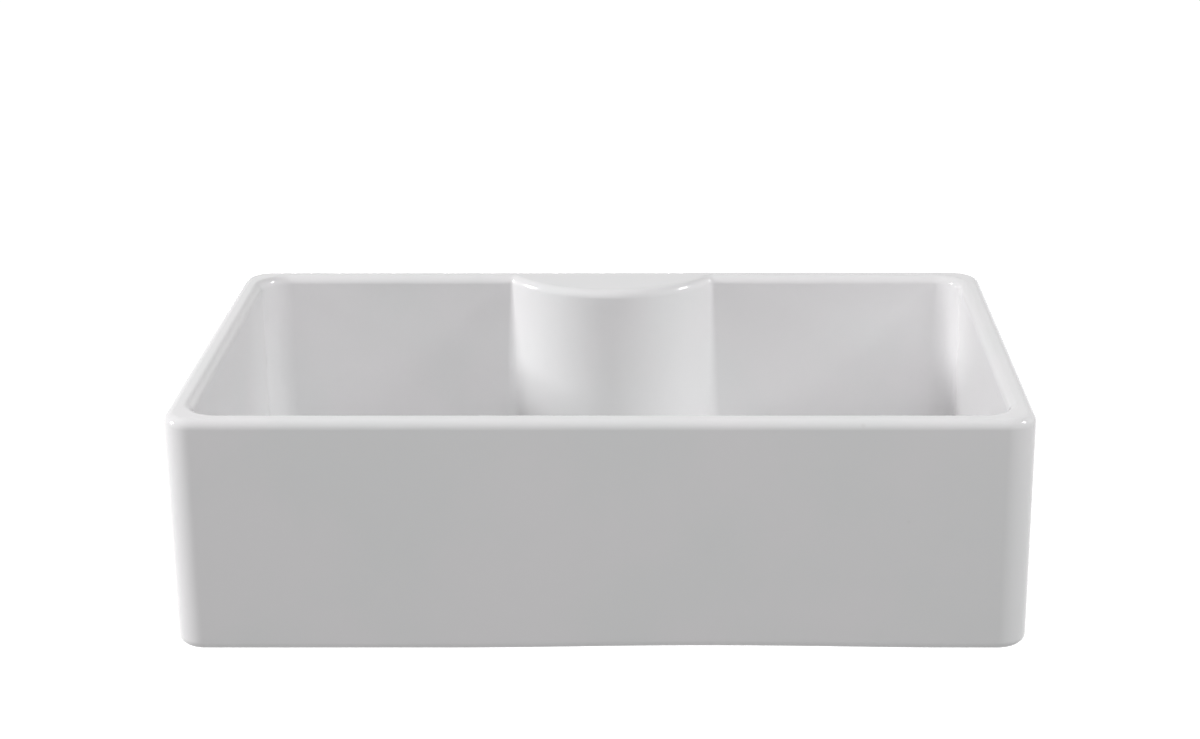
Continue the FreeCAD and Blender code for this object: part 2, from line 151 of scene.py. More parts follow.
class StageLook(bpy.types.PropertyGroup):
    worktop_height: length("Worktop height", "From the floor up to the basin's rim", 0.90)
    floor_size: length("Floor size", "Width of the floor", 30.0)
    floor: colour("Floor", "Colour of the floor", (0.40, 0.40, 0.40))
    floor_glow: factor("Floor glow", "How much white the camera sees on the floor above its lit colour", 0.96)
    surround: factor("Surround", "Light from all round", 0.13, 2.0)
    key_left: power("Left key", "Power of the soft box on the left", 145.0)
    key_right: power("Right key", "Power of the soft box on the right", 82.0)
    fill_left: power("Left fill", "Power of the soft box to the left of the camera", 17.0)
    fill_right: power("Right fill", "Power of the soft box to the right of the camera", 20.5)
    back_low: power("Back", "Power of the soft box behind the sink and no higher than its rim", 24.0)
    lens: bpy.props.FloatProperty(
        name="Lens", description="Focal length on a 36 mm sensor, in millimetres", default=70.65,
        subtype="DISTANCE_CAMERA",
    )
    camera_place: bpy.props.FloatVectorProperty(
        name="Camera", description="Where the camera stands", default=(0.0634, -2.1316, 0.9099),
        subtype="TRANSLATION",
    )
    camera_pitch: bpy.props.FloatProperty(
        name="Pitch", description="How far the camera looks down", default=math.radians(18.757),
        subtype="ANGLE",
    )
    shift: bpy.props.FloatProperty(
        name="Shift", description="Sideways shift of the lens, as a share of the picture's width",
        default=-0.0607,
    )


# ---- modelling helpers ----
SLACK = 0.0002  # how far a point may lie from the place by which it is picked
OVERRUN = 0.01  # how far a cutting tool runs past what it cuts


def leave_edit_mode():
    if bpy.context.mode != "OBJECT":
        bpy.ops.object.mode_set(mode="OBJECT")


def start_fresh():
    leave_edit_mode()
    bpy.ops.object.select_all(action="DESELECT")


def take(piece):
    """Makes the piece the only one that operators act on."""
    start_fresh()
    bpy.context.view_layer.objects.active = piece
    piece.select_set(True)


def clear_selection(mesh):
    for part in (*mesh.vertices, *mesh.edges, *mesh.polygons):
        part.select = False


def named(name):
    """The primitive that was just added, under its own name and with its place in its mesh."""
    piece = bpy.context.active_object
    piece.name = name
    piece.data.name = name
    bpy.ops.object.transform_apply(location=True, rotation=True, scale=True)
    return piece


def drum(name, radius, low, high, y=0.0, sides=128):
    """An upright cylinder between two levels."""
    start_fresh()
    bpy.ops.mesh.primitive_cylinder_add(
        vertices=sides, radius=radius, depth=high - low, location=(0.0, y, (low + high) / 2)
    )
    return named(name)


def pick_edges(piece, wanted):
    """Selects, in edit mode, the edges whose two ends pass the test."""
    take(piece)
    bpy.ops.object.mode_set(mode="EDIT")
    bpy.ops.mesh.select_mode(type="EDGE")
    bpy.ops.mesh.select_all(action="DESELECT")
    bpy.ops.object.mode_set(mode="OBJECT")
    mesh = piece.data
    for edge in mesh.edges:
        a, b = (mesh.vertices[i].co for i in edge.vertices)
        edge.select = wanted(a, b)
    bpy.ops.object.mode_set(mode="EDIT")


def round_edges(piece, radius, segments, wanted):
    """Bevels the edges whose two ends pass the test."""
    pick_edges(piece, wanted)
    bpy.ops.mesh.bevel(
        offset=radius, offset_type="OFFSET", segments=segments, affect="EDGES", clamp_overlap=False
    )
    bpy.ops.object.mode_set(mode="OBJECT")


def apply_modifier(piece, kind, **settings):
    take(piece)
    modifier = piece.modifiers.new(kind.lower(), kind)
    for name, value in settings.items():
        setattr(modifier, name, value)
    bpy.ops.object.modifier_apply(modifier=modifier.name)


def carve(piece, tool):
    """Cuts the tool out of the piece, and removes the tool."""
    apply_modifier(piece, "BOOLEAN", object=tool, operation="DIFFERENCE", solver="EXACT")
    bpy.data.objects.remove(tool)


def arc(x, y, radius, first, last, steps):
    """Points along an arc about (x, y), from one angle to another, in degrees from +X."""
    angles = (math.radians(first + (last - first) * i / steps) for i in range(steps + 1))
    return [Vector((x + radius * math.cos(a), y + radius * math.sin(a))) for a in angles]


def joined(arcs, stretches):
    """A closed outline: each arc, then the straight stretch after it in its steps, 0 where arcs touch."""
    points = []
    for here, following, steps in zip(arcs, arcs[1:] + arcs[:1], stretches):
        points += here[:-1]
        points += [here[-1].lerp(following[0], i / steps) for i in range(steps)]
    return points


def quarter_turn(steps):
    return [math.pi / 2 * i / steps for i in range(steps + 1)]


def wrapped(name, loops):
    """A closed piece: a grid whose rows lie along closed loops of points, with a face over either end."""
    start_fresh()
    bpy.ops.mesh.primitive_grid_add(x_subdivisions=len(loops[0]), y_subdivisions=len(loops) - 1)
    piece = named(name)
    rows = [loop + loop[:1] for loop in loops]
    piece.data.vertices.foreach_set("co", [c for row in rows for point in row for c in point])
    bpy.ops.object.mode_set(mode="EDIT")
    bpy.ops.mesh.select_all(action="SELECT")
    bpy.ops.mesh.remove_doubles(threshold=1e-6)
    bpy.ops.mesh.fill_holes(sides=0)
    bpy.ops.mesh.select_all(action="SELECT")
    bpy.ops.mesh.normals_make_consistent(inside=False)
    bpy.ops.object.mode_set(mode="OBJECT")
    return piece


def same_level(a, b, level):
    return abs(a.z - level) < SLACK and abs(b.z - level) < SLACK


# ---- shader helpers ----
LINE_DRIFT = 0.0004  # metres that the pattern moves for each radian along a lathe line


def add_node(tree, kind, inputs=None, **settings):
    """A node with its settings and inputs, where an input is a value or another node's socket."""
    made = tree.nodes.new(kind)
    for name, value in settings.items():
        setattr(made, name, value)
    for name, value in (inputs or {}).items():
        socket = made.inputs[name]
        if isinstance(value, bpy.types.NodeSocket):
            tree.links.new(value, socket)
        else:
            socket.default_value = value
    return made


def new_group(name, inputs, outputs):
    """An empty shader node group with its sockets, its input node and its output node."""
    group = bpy.data.node_groups.new(name, "ShaderNodeTree")
    for socket_name, kind, default in inputs:
        socket = group.interface.new_socket(socket_name, in_out="INPUT", socket_type=kind)
        if default is not None:
            socket.default_value = default
    for socket_name, kind in outputs:
        group.interface.new_socket(socket_name, in_out="OUTPUT", socket_type=kind)
    return group, group.nodes.new("NodeGroupInput"), group.nodes.new("NodeGroupOutput")


def colour_socket(sockets, name):
    """The colour socket of a Mix node, which also has number and vector sockets of the same name."""
    return next(s for s in sockets if s.name == name and s.type == "RGBA")


def mix_colours(tree, amount, first, second):
    """The colour between two colours, each a value or a socket."""
    mix = tree.nodes.new("ShaderNodeMix")
    mix.data_type = "RGBA"
    for socket, value in (
        (mix.inputs[0], amount),
        (colour_socket(mix.inputs, "A"), first),
        (colour_socket(mix.inputs, "B"), second),
    ):
        if isinstance(value, bpy.types.NodeSocket):
            tree.links.new(value, socket)
        else:
            socket.default_value = value
    return colour_socket(mix.outputs, "Result")


def tone_drift_group():
    """Two close tones of one colour, in soft patches of a chosen size."""
    group, inside, out = new_group(
        "tone_drift",
        [
            ("Vector", "NodeSocketVector", None),
            ("Tone", "NodeSocketColor", (0.8, 0.8, 0.8, 1.0)),
            ("Other tone", "NodeSocketColor", (0.7, 0.7, 0.7, 1.0)),
            ("Patches per metre", "NodeSocketFloat", 6.0),
        ],
        [("Color", "NodeSocketColor"), ("Mask", "NodeSocketFloat")],
    )
    noise = add_node(
        group, "ShaderNodeTexNoise",
        {"Vector": inside.outputs["Vector"], "Scale": inside.outputs["Patches per metre"], "Detail": 3.0},
    )
    ramp = add_node(
        group, "ShaderNodeMapRange",
        {"Value": noise.outputs["Fac"], "From Min": 0.36, "From Max": 0.66},
        interpolation_type="SMOOTHSTEP",
    )
    mixed = mix_colours(group, ramp.outputs["Result"], inside.outputs["Tone"], inside.outputs["Other tone"])
    group.links.new(mixed, out.inputs["Color"])
    group.links.new(ramp.outputs["Result"], out.inputs["Mask"])
    return group


def ripple_group():
    """The slow waviness and fine skin of a fired, moulded or plated surface, as a height."""
    group, inside, out = new_group(
        "surface_ripple",
        [
            ("Vector", "NodeSocketVector", None),
            ("Waves per metre", "NodeSocketFloat", 18.0),
            ("Skin per metre", "NodeSocketFloat", 260.0),
            ("Skin share", "NodeSocketFloat", 0.15),
        ],
        [("Height", "NodeSocketFloat")],
    )
    vector = inside.outputs["Vector"]
    waves = add_node(
        group, "ShaderNodeTexNoise",
        {"Vector": vector, "Scale": inside.outputs["Waves per metre"], "Detail": 1.0, "Roughness": 0.4},
    )
    skin = add_node(
        group, "ShaderNodeTexNoise",
        {"Vector": vector, "Scale": inside.outputs["Skin per metre"], "Detail": 2.0},
    )
    fine = add_node(
        group, "ShaderNodeMath",
        {0: skin.outputs["Fac"], 1: inside.outputs["Skin share"]},
        operation="MULTIPLY",
    )
    total = add_node(group, "ShaderNodeMath", {0: waves.outputs["Fac"], 1: fine.outputs[0]}, operation="ADD")
    group.links.new(total.outputs[0], out.inputs["Height"])
    return group


def lathe_group():
    """Fine circular lines round the drain's axis, as spinning or turning leaves them."""
    group, inside, out = new_group(
        "lathe_lines",
        [("Vector", "NodeSocketVector", None), ("Lines per metre", "NodeSocketFloat", 2600.0)],
        [("Height", "NodeSocketFloat"), ("Streak", "NodeSocketFloat")],
    )
    split = add_node(group, "ShaderNodeSeparateXYZ", {"Vector": inside.outputs["Vector"]})
    flat = add_node(
        group, "ShaderNodeCombineXYZ", {"X": split.outputs["X"], "Y": split.outputs["Y"], "Z": 0.0}
    )
    reach = add_node(group, "ShaderNodeVectorMath", {0: flat.outputs[0]}, operation="LENGTH")
    turn = add_node(
        group, "ShaderNodeMath", {0: split.outputs["Y"], 1: split.outputs["X"]}, operation="ARCTAN2"
    )
    slow_turn = add_node(group, "ShaderNodeMath", {0: turn.outputs[0], 1: LINE_DRIFT}, operation="MULTIPLY")
    rolled = add_node(
        group, "ShaderNodeCombineXYZ",
        {"X": reach.outputs["Value"], "Y": split.outputs["Z"], "Z": slow_turn.outputs[0]},
    )
    noise = add_node(
        group, "ShaderNodeTexNoise",
        {"Vector": rolled.outputs[0], "Scale": inside.outputs["Lines per metre"], "Detail": 2.0},
    )
    streak = add_node(
        group, "ShaderNodeMapRange", {"Value": noise.outputs["Fac"], "From Min": 0.3, "From Max": 0.7}
    )
    group.links.new(noise.outputs["Fac"], out.inputs["Height"])
    group.links.new(streak.outputs["Result"], out.inputs["Streak"])
    return group


def dried_drops_group():
    """Small dried rings and smears of hard water, as a mask."""
    group, inside, out = new_group(
        "dried_drops",
        [("Vector", "NodeSocketVector", None), ("Drops per metre", "NodeSocketFloat", 70.0)],
        [("Mask", "NodeSocketFloat")],
    )
    vector = inside.outputs["Vector"]
    cells = add_node(
        group, "ShaderNodeTexVoronoi", {"Vector": vector, "Scale": inside.outputs["Drops per metre"]}
    )
    outside = add_node(
        group, "ShaderNodeMapRange",
        {"Value": cells.outputs["Distance"], "From Min": 0.34, "From Max": 0.26},
        interpolation_type="SMOOTHSTEP",
    )
    middle = add_node(
        group, "ShaderNodeMapRange",
        {"Value": cells.outputs["Distance"], "From Min": 0.16, "From Max": 0.28},
        interpolation_type="SMOOTHSTEP",
    )
    ring = add_node(
        group, "ShaderNodeMath", {0: outside.outputs[0], 1: middle.outputs[0]}, operation="MULTIPLY"
    )
    spread = add_node(group, "ShaderNodeTexNoise", {"Vector": vector, "Scale": 14.0, "Detail": 2.0})
    where = add_node(
        group, "ShaderNodeMapRange",
        {"Value": spread.outputs["Fac"], "From Min": 0.5, "From Max": 0.62},
        interpolation_type="SMOOTHSTEP",
    )
    mask = add_node(group, "ShaderNodeMath", {0: ring.outputs[0], 1: where.outputs[0]}, operation="MULTIPLY")
    group.links.new(mask.outputs[0], out.inputs["Mask"])
    return group


EFFECTS = {
    "tone_drift": tone_drift_group,
    "surface_ripple": ripple_group,
    "lathe_lines": lathe_group,
    "dried_drops": dried_drops_group,
}


def effect(tree, name, inputs):
    """A node group placed in a material with its own values."""
    group = bpy.data.node_groups.get(name) or EFFECTS[name]()
    return add_node(tree, "ShaderNodeGroup", inputs, node_tree=group)


def rgba(tone):
    return (*tone, 1.0)


def darker(tone, share):
    return tuple(share * c for c in tone)


def new_material(name, **shader_values):
    """A material with one Principled BSDF whose constants stand on its own sockets."""
    material = bpy.data.materials.new(name)
    material.use_nodes = True
    tree = material.node_tree
    shader = tree.nodes["Principled BSDF"]
    for socket_name, value in shader_values.items():
        shader.inputs[socket_name.replace("_", " ")].default_value = value
    place = tree.nodes.new("ShaderNodeTexCoord").outputs["Object"]
    return material, tree, shader, place


def bump(tree, shader, height, distance):
    """Drives the shader's normal by a height, where a height of 1 stands for the distance in metres."""
    made = add_node(tree, "ShaderNodeBump", {"Height": height, "Distance": distance, "Strength": 1.0})
    tree.links.new(made.outputs["Normal"], shader.inputs["Normal"])


def vary_roughness(tree, shader, mask, low, high):
    """Drives the shader's roughness by a mask, from one value to another."""
    ranged = add_node(tree, "ShaderNodeMapRange", {"Value": mask, "To Min": low, "To Max": high})
    tree.links.new(ranged.outputs["Result"], shader.inputs["Roughness"])


# ---- materials ----
SPECKLESS = 0.86  # the share of the speck pattern's cells that stay empty


def glaze_material(look):
    """White glaze: glossy, slightly wavy, its tone drifting, with a few faint specks."""
    material, tree, shader, place = new_material("white_glaze", IOR=1.45)
    drift = effect(
        tree, "tone_drift",
        {
            "Vector": place,
            "Tone": rgba(look.white),
            "Other tone": rgba(look.shade),
            "Patches per metre": 8.0,
        },
    )
    cells = add_node(tree, "ShaderNodeTexVoronoi", {"Vector": place, "Scale": 22.0})
    dot = add_node(
        tree, "ShaderNodeMapRange",
        {"Value": cells.outputs["Distance"], "From Min": 0.065, "From Max": 0.03, "To Max": 0.16},
    )
    rare = add_node(tree, "ShaderNodeSeparateColor", {"Color": cells.outputs["Color"]})
    chosen = add_node(tree, "ShaderNodeMath", {0: rare.outputs[0], 1: SPECKLESS}, operation="GREATER_THAN")
    specks = add_node(tree, "ShaderNodeMath", {0: dot.outputs[0], 1: chosen.outputs[0]}, operation="MULTIPLY")
    colour_out = mix_colours(tree, specks.outputs[0], drift.outputs["Color"], rgba(look.speck))
    tree.links.new(colour_out, shader.inputs["Base Color"])
    vary_roughness(tree, shader, drift.outputs["Mask"], low=look.roughness, high=look.roughness + 0.03)
    ripple = effect(
        tree, "surface_ripple",
        {"Vector": place, "Waves per metre": 8.0, "Skin per metre": 420.0, "Skin share": 0.02},
    )
    bump(tree, shader, ripple.outputs["Height"], distance=0.0002)
    return material


def spun_steel_material(name, tone, dried_water, roughness, lines):
    """Stainless steel with the fine circular lines of spinning, so many to the metre, and dried drops."""
    material, tree, shader, place = new_material(name, Metallic=1.0)
    drift = effect(
        tree, "tone_drift",
        {
            "Vector": place,
            "Tone": rgba(tone),
            "Other tone": rgba(darker(tone, 0.88)),
            "Patches per metre": 45.0,
        },
    )
    grain = effect(tree, "lathe_lines", {"Vector": place, "Lines per metre": lines})
    drops = effect(tree, "dried_drops", {"Vector": place, "Drops per metre": 120.0})
    marked = mix_colours(tree, drops.outputs["Mask"], drift.outputs["Color"], rgba(dried_water))
    tree.links.new(marked, shader.inputs["Base Color"])
    vary_roughness(tree, shader, grain.outputs["Streak"], low=roughness, high=roughness + 0.14)
    bump(tree, shader, grain.outputs["Height"], distance=0.00006)
    return material


def plated_material(look):
    """Plated brass: satin, slightly cast, with brass showing in small worn patches."""
    material, tree, shader, place = new_material("plated_brass", Metallic=1.0)
    wear = effect(
        tree, "tone_drift",
        {
            "Vector": place,
            "Tone": rgba(look.plated),
            "Other tone": rgba(look.brass),
            "Patches per metre": 60.0,
        },
    )
    faint = mix_colours(tree, 0.12, rgba(look.plated), wear.outputs["Color"])
    tree.links.new(faint, shader.inputs["Base Color"])
    ripple = effect(
        tree, "surface_ripple",
        {"Vector": place, "Waves per metre": 220.0, "Skin per metre": 1500.0, "Skin share": 0.4},
    )
    vary_roughness(tree, shader, wear.outputs["Mask"], low=0.22, high=0.40)
    bump(tree, shader, ripple.outputs["Height"], distance=0.00012)
    return material


def soft_material(name, tone, other, roughness, waves):
    """A matte moulded or pressed stuff, so many waves to the metre: rubber, fibre, sealant or nylon."""
    material, tree, shader, place = new_material(name)
    drift = effect(
        tree, "tone_drift",
        {"Vector": place, "Tone": rgba(tone), "Other tone": rgba(other), "Patches per metre": waves / 4},
    )
    tree.links.new(drift.outputs["Color"], shader.inputs["Base Color"])
    vary_roughness(tree, shader, drift.outputs["Mask"], low=roughness, high=min(1.0, roughness + 0.2))
    ripple = effect(
        tree, "surface_ripple",
        {"Vector": place, "Waves per metre": waves, "Skin per metre": 8 * waves, "Skin share": 0.5},
    )
    bump(tree, shader, ripple.outputs["Height"], distance=0.00015)
    return material


def dress(node, material):
    """Gives a CAD node its finish."""
    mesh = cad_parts[node].data
    mesh.materials.clear()
    mesh.materials.append(material)
    for face in mesh.polygons:
        face.material_index = 0


# ---- the basin ----
CORNER_STEPS = 14
CREASE_STEPS = 8
BOW_STEPS = 40
# steps along: right wall, back's right, two places where arcs touch, back's left, left wall, front
STRETCHES = (14, 10, 0, 0, 10, 14, 26)
FOOT_STEPS = 5
OUTSIDE_STEPS = 7
RIM_OUTER_STEPS = 9
RIM_INNER_STEPS = 8
INSIDE_STEPS = 9
FLOOR_ROUND_STEPS = 10
DRAIN_SIDES = 160
DRAIN_EDGE_STEPS = 4
HOLLOW_SIDES = 192
HOLLOW_EDGE_STEPS = 5
SHARP_ANGLE = math.radians(40.0)  # an edge that turns more than this stays sharp
WARP_CORE = 0.125  # the share of the warp's reach that is lifted in full


def ledge_middle(size):
    """How far back the centre of the tap ledge's bow lies."""
    return basin_high.y - size.ledge_reach + size.ledge_bow


def crease_round(size, level):
    """The round between the ledge and the back wall, which widens towards the floor."""
    share = (level - basin_low.z) / (basin_high.z - basin_low.z)
    return size.crease_foot + (size.crease_top - size.crease_foot) * share


def bowl_arcs(size, spread, crease):
    """The arcs of the bowl's outline moved outwards by the spread: corners, creases and the ledge's bow."""
    x = basin_high.x - size.wall - size.inner_corner
    y = basin_high.y - size.wall - size.inner_corner
    corner = size.inner_corner + spread
    bow_y = ledge_middle(size)
    crease_y = basin_high.y - size.wall - crease
    crease_x = math.sqrt((size.ledge_bow + crease) ** 2 - (bow_y - crease_y) ** 2)
    lean = math.degrees(math.atan2(bow_y - crease_y, crease_x))
    return [
        arc(x, -y, corner, -90, 0, CORNER_STEPS),
        arc(x, y, corner, 0, 90, CORNER_STEPS),
        arc(crease_x, crease_y, crease + spread, 90, 180 - lean, CREASE_STEPS),
        arc(0.0, bow_y, size.ledge_bow - spread, -lean, lean - 180, BOW_STEPS),
        arc(-crease_x, crease_y, crease + spread, lean, 90, CREASE_STEPS),
        arc(-x, y, corner, 90, 180, CORNER_STEPS),
        arc(-x, -y, corner, 180, 270, CORNER_STEPS),
    ]


def outer_arcs(size, inset):
    """The arcs of the basin's outside moved inwards by the inset, with points to match the ledge's."""
    x = basin_high.x - size.outer_corner
    y = basin_high.y - size.outer_corner
    corner = size.outer_corner - inset
    mouth = bowl_arcs(size, size.rim_inner, size.crease_top)
    behind = [[Vector((p.x, basin_high.y - inset)) for p in stretch] for stretch in mouth[2:5]]
    return [
        arc(x, -y, corner, -90, 0, CORNER_STEPS),
        arc(x, y, corner, 0, 90, CORNER_STEPS),
        *behind,
        arc(-x, y, corner, 90, 180, CORNER_STEPS),
        arc(-x, -y, corner, 180, 270, CORNER_STEPS),
    ]


def outside_loops(size):
    """From the foot of the outside up and over the rim's outer round."""
    foot, rim = size.base_edge, size.rim_outer
    low, wall_foot, wall_top = basin_low.z, basin_low.z + foot, basin_high.z - rim
    rings = [(foot * (1 - math.sin(t)), low + foot * (1 - math.cos(t))) for t in quarter_turn(FOOT_STEPS)]
    rings += [
        (0.0, wall_foot + (wall_top - wall_foot) * i / OUTSIDE_STEPS) for i in range(1, OUTSIDE_STEPS)
    ]
    rings += [(rim * (1 - math.cos(t)), wall_top + rim * math.sin(t)) for t in quarter_turn(RIM_OUTER_STEPS)]
    return [[(p.x, p.y, z) for p in joined(outer_arcs(size, inset), STRETCHES)] for inset, z in rings]


def inside_loops(size):
    """From the rim's inner round down the bowl's wall and round into its sloping floor."""
    rim, floor = size.rim_inner, size.floor_round
    loops = []
    for t in quarter_turn(RIM_INNER_STEPS):
        level = basin_high.z - rim * (1 - math.cos(t))
        arcs = bowl_arcs(size, rim * (1 - math.sin(t)), crease_round(size, level))
        loops.append([(p.x, p.y, level) for p in joined(arcs, STRETCHES)])
    wall_top = basin_high.z - rim
    for i in range(1, INSIDE_STEPS):
        nominal = wall_top + (size.floor_level + floor - wall_top) * i / INSIDE_STEPS
        arcs = bowl_arcs(size, 0.0, crease_round(size, nominal))
        loops.append([
            (p.x, p.y, wall_top + (floor_height(size, p) + floor - wall_top) * i / INSIDE_STEPS)
            for p in joined(arcs, STRETCHES)
        ])
    for t in quarter_turn(FLOOR_ROUND_STEPS):
        arcs = bowl_arcs(size, floor * (math.cos(t) - 1), size.crease_foot)
        lift = floor * (1 - math.sin(t))
        loops.append([(p.x, p.y, floor_height(size, p) + lift) for p in joined(arcs, STRETCHES)])
    return loops


def floor_height(size, point):
    """The level of the bowl's floor, which rises evenly away from the drain."""
    return size.floor_level + (point.length - size.drain_hole) * size.floor_rise


def close_floor(basin, size):
    """Turns the face over the bowl's floor into a fan that falls to the drain."""
    take(basin)
    clear_selection(basin.data)
    # the floor is the one face with many corners that looks up, and poke puts its middle last
    for face in basin.data.polygons:
        face.select = len(face.vertices) > 4 and face.normal.z > 0.5
    bpy.ops.object.mode_set(mode="EDIT")
    bpy.ops.mesh.select_mode(type="FACE")
    bpy.ops.mesh.poke()
    bpy.ops.object.mode_set(mode="OBJECT")
    middle = basin.data.vertices[-1]
    clear_selection(basin.data)
    middle.select = True
    target = Vector((0.0, 0.0, floor_height(size, Vector((0.0, 0.0)))))
    step = target - middle.co
    bpy.ops.object.mode_set(mode="EDIT")
    bpy.ops.mesh.select_mode(type="VERT")
    bpy.ops.transform.translate(value=step)
    bpy.ops.object.mode_set(mode="OBJECT")


def drain_cuts(basin, size):
    """The hole through the floor, its seat above and its recess below."""
    under = basin_low.z - OVERRUN
    over = size.floor_level + OVERRUN
    seat = size.seat_level
    carve(basin, drum("under_recess_tool", size.under_recess, under, basin_low.z + size.under_depth))
    carve(basin, drum("drain_hole_tool", size.drain_hole, under, over, sides=DRAIN_SIDES))
    carve(basin, drum("drain_seat_tool", size.drain_seat, seat, over + OVERRUN, sides=DRAIN_SIDES))
    below_brim = seat + size.drain_edge / 2
    below_seat = seat - size.drain_edge / 2
    for radius, low in ((size.drain_seat, below_brim), (size.drain_hole, below_seat)):
        round_edges(basin, size.drain_edge, DRAIN_EDGE_STEPS, lambda a, b: all(
            abs(p.xy.length - radius) < SLACK and p.z > low for p in (a, b)
        ))


def service_tool(size):
    """The hollow under the ledge, open to the back and below."""
    top = basin_high.z - size.deck
    radius = size.ledge_bow - size.ledge_wall
    tool = drum(
        "service_tool", radius, basin_low.z - OVERRUN, top, y=ledge_middle(size), sides=HOLLOW_SIDES
    )
    round_edges(tool, size.service_round, HOLLOW_EDGE_STEPS, lambda a, b: same_level(a, b, top))
    return tool


def tap_hole_tool(size):
    """The blind hole up into the ledge's deck."""
    top = basin_high.z
    y = basin_high.y - size.ledge_reach + size.tap_set_back
    return drum("tap_hole_tool", size.tap_hole, top - size.deck - OVERRUN, top - size.tap_skin, y=y)


def finish_surface(piece):
    """Smooth shading whose normals follow the large faces."""
    take(piece)
    bpy.ops.object.shade_smooth_by_angle(angle=SHARP_ANGLE)
    apply_modifier(piece, "WEIGHTED_NORMAL", keep_sharp=True, weight=100, mode="FACE_AREA")


def warp_apron(basin, size):
    """Lifts the apron's foot a little right of its middle, as the kiln leaves it."""
    take(basin)
    clear_selection(basin.data)
    centre = Vector((size.warp_side, basin_low.y, basin_low.z))
    for vertex in basin.data.vertices:
        vertex.select = (vertex.co - centre).length < size.warp_reach * WARP_CORE
    bpy.ops.object.mode_set(mode="EDIT")
    bpy.ops.mesh.select_mode(type="VERT")
    bpy.ops.transform.translate(
        value=(0.0, 0.0, size.warp_lift), use_proportional_edit=True,
        proportional_size=size.warp_reach, proportional_edit_falloff="SMOOTH",
    )
    bpy.ops.object.mode_set(mode="OBJECT")


class SINK_OT_basin(bpy.types.Operator):
    """Model the glazed basin with its bowl, rim, tap ledge and drain opening"""

    bl_idname = "sink.basin"
    bl_label = "Basin"

    def execute(self, context):
        size = context.scene.basin_sizes
        basin = wrapped("basin_glazed", outside_loops(size) + inside_loops(size))
        close_floor(basin, size)
        drain_cuts(basin, size)
        carve(basin, service_tool(size))
        carve(basin, tap_hole_tool(size))
        warp_apron(basin, size)
        finish_surface(basin)
        basin.data.materials.append(glaze_material(context.scene.glaze_look))
        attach(basin, "basin")
        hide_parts("sink_basin")
        return {"FINISHED"}


class SINK_OT_strainer(bpy.types.Operator):
    """Dress the strainer body, its seals, its nuts and the outlet"""

    bl_idname = "sink.strainer"
    bl_label = "Strainer and outlet"

    def execute(self, context):
        look = context.scene.fitting_look
        steel = spun_steel_material("spun_steel", look.steel, look.dried_water, roughness=0.20, lines=2600.0)
        plated = plated_material(look)
        rubber = soft_material("gasket_rubber", look.rubber, look.dust, roughness=0.55, waves=300.0)
        dress("strainer_body", steel)
        dress("outlet_cross", steel)
        for node in ("locknut", "outlet_spigot", "coupling_nut"):
            dress(node, plated)
        dress("under_gasket", rubber)
        for node, stuff, tone, share, roughness, waves in (
            ("friction_ring", "pressed_fibre", look.fibre, 0.7, 0.75, 900.0),
            ("flange_seal", "sealant", look.sealant, 0.9, 0.6, 200.0),
            ("coupling_washer", "white_nylon", look.nylon, 0.95, 0.4, 250.0),
        ):
            dress(node, soft_material(stuff, tone, darker(tone, share), roughness, waves))
        return {"FINISHED"}


class SINK_OT_basket(bpy.types.Operator):
    """Dress the perforated basket, its bush and the ring that grips the stem"""

    bl_idname = "sink.basket"
    bl_label = "Basket"

    def execute(self, context):
        look = context.scene.fitting_look
        for node, steel, roughness, lines in (
            ("basket", "basket_steel", 0.16, 1800.0),
            ("stem_guide", "guide_steel", 0.24, 3200.0),
        ):
            dress(node, spun_steel_material(steel, look.steel, look.dried_water, roughness, lines))
        rubber = soft_material("ring_rubber", look.rubber, look.dust, roughness=0.45, waves=600.0)
        dress("stem_seal_ring", rubber)
        return {"FINISHED"}


class SINK_OT_stopper(bpy.types.Operator):
    """Dress the stopper: stem, plate, rubber disc, washer, nut and knob"""

    bl_idname = "sink.stopper"
    bl_label = "Stopper"

    def execute(self, context):
        look = context.scene.fitting_look
        water = look.dried_water
        polished = spun_steel_material("polished_knob", look.polished, water, roughness=0.06, lines=900.0)
        plain = spun_steel_material("stopper_steel", look.steel, water, roughness=0.25, lines=2400.0)
        for node in ("stopper_knob", "stopper_stem"):
            dress(node, polished)
        for node in ("stopper_plate", "stopper_washer", "stopper_nut"):
            dress(node, plain)
        rubber = soft_material("disc_rubber", look.rubber, look.dust, roughness=0.5, waves=350.0)
        dress("stopper_disc", rubber)
        return {"FINISHED"}


# ---- floor, light and camera ----
# each lamp's place, width and height, and whether it shows in reflections
LAMPS = {
    "key_left": ((-4.0, 0.1, 1.78), 0.8, 0.8, True),
    "key_right": ((3.6, -0.3, 2.8), 0.8, 0.8, True),
    "fill_left": ((-1.0, -2.4, 1.8), 2.2, 1.5, False),
    "fill_right": ((0.9, -2.3, 1.65), 2.2, 1.5, False),
    "back_low": ((-0.5, 2.5, -0.05), 1.2, 0.5, True),
}


def seen_directly(tree):
    """1 on a camera ray, in a reflection or through glass, and 0 for the light that falls on things."""
    path = tree.nodes.new("ShaderNodeLightPath")
    seen = path.outputs["Is Camera Ray"]
    for kind in ("Is Glossy Ray", "Is Transmission Ray"):
        either = add_node(tree, "ShaderNodeMath", {0: seen, 1: path.outputs[kind]}, operation="MAXIMUM")
        seen = either.outputs[0]
    return seen


